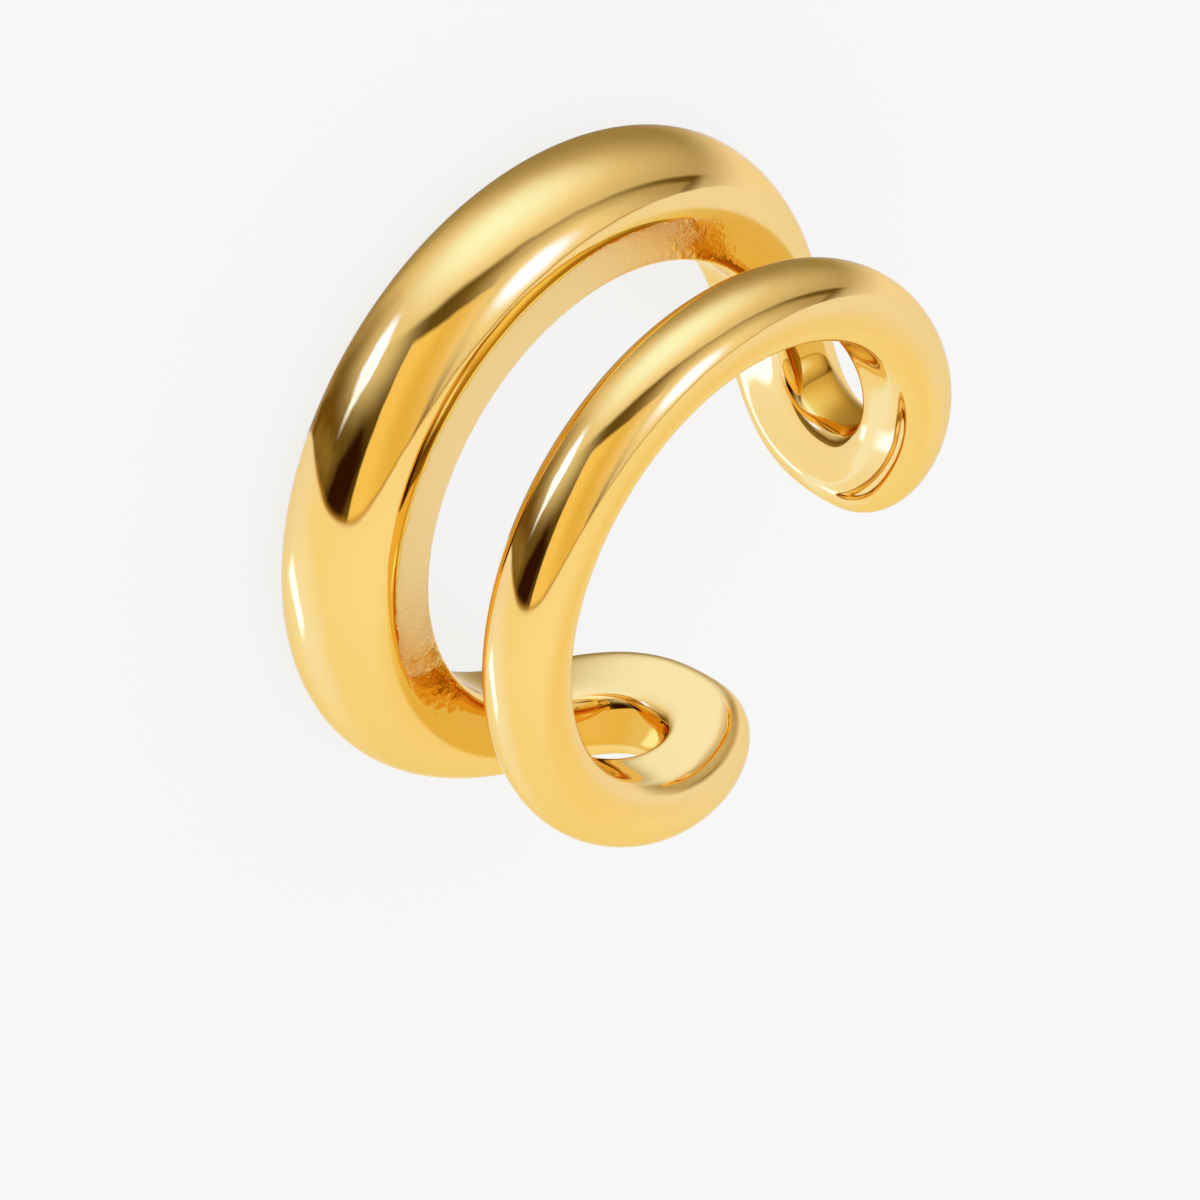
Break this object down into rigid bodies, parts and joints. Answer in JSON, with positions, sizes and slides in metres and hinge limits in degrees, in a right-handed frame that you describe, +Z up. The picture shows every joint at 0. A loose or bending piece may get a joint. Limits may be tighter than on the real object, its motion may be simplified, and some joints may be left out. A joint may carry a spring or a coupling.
{
  "type": "ear cuff",
  "caption": "Open C-shaped ear cuff: a wide and a narrow domed bar side by side, joined at rounded tips, with a long slot between the bars.",
  "frame": {"origin": "on the surface the cuff lies on, below the middle of its box; the cuff lies on its wide bar's side, as it rests by itself", "axes": "+Z up, along the ring's axis from the wide bar to the narrow bar; +X out of the ring's opening; +Y along the ring's long way"},
  "size_m": [0.0096, 0.0122, 0.0063],
  "materials": {
    "polished_gold": "mirror polished, gold plated"
  },
  "bodies": {
    "root": {"ear_cuff": "polished_gold"}
  },
  "joints": []
}
